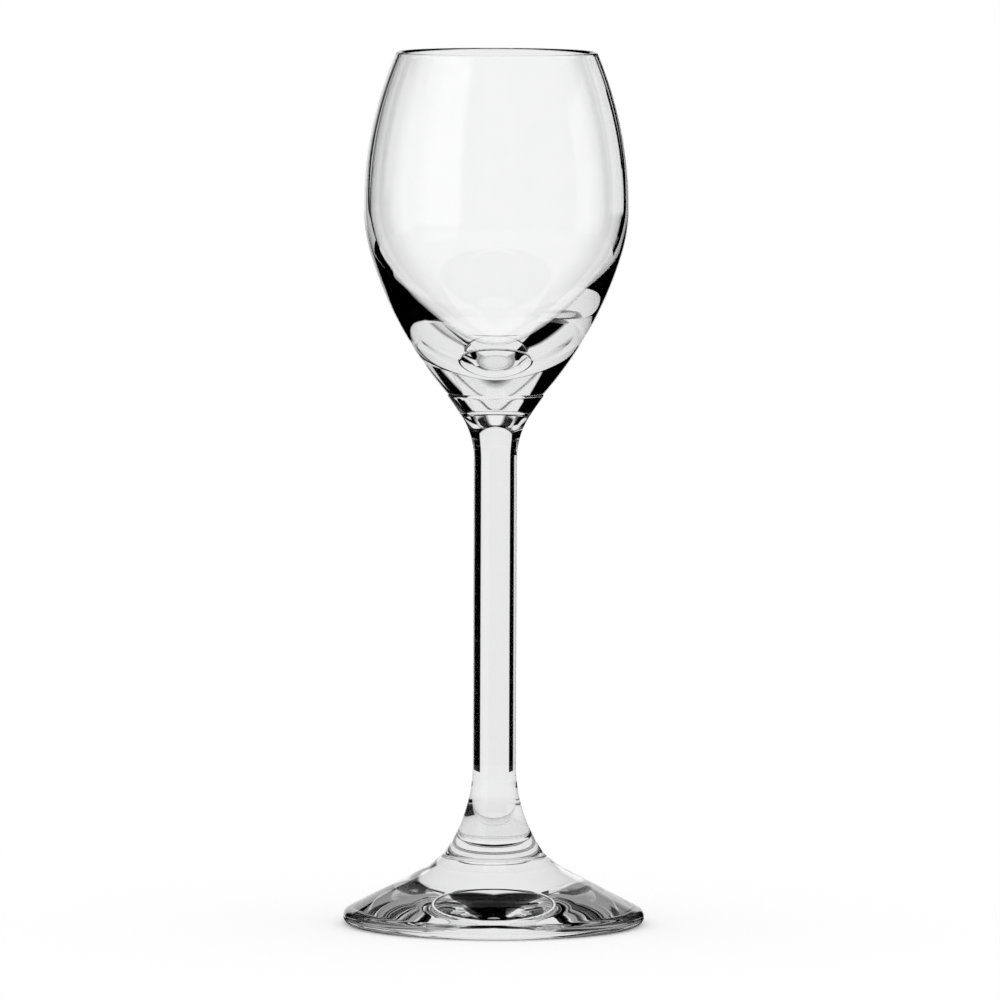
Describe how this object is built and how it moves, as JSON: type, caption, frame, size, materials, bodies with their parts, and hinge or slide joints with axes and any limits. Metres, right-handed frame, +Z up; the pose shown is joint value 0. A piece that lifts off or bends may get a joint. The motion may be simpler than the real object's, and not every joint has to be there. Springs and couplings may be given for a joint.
{
  "type": "cordial glass",
  "caption": "Small stemmed cordial glass in clear glass: tulip bowl with a narrowed mouth, slim round stem flaring at both ends, and a low domed foot hollow underneath.",
  "frame": {"origin": "middle of the flat ring that the foot rests on", "axes": "+Z up the glass's axis from the foot to the rim; the glass is round, so X and Y are free"},
  "size_m": [0.051, 0.051, 0.148],
  "materials": {
    "clear_glass": "clear, colourless, fire-polished"
  },
  "bodies": {
    "root": {"foot": "clear_glass", "stem": "clear_glass", "bowl": "clear_glass"}
  },
  "joints": []
}
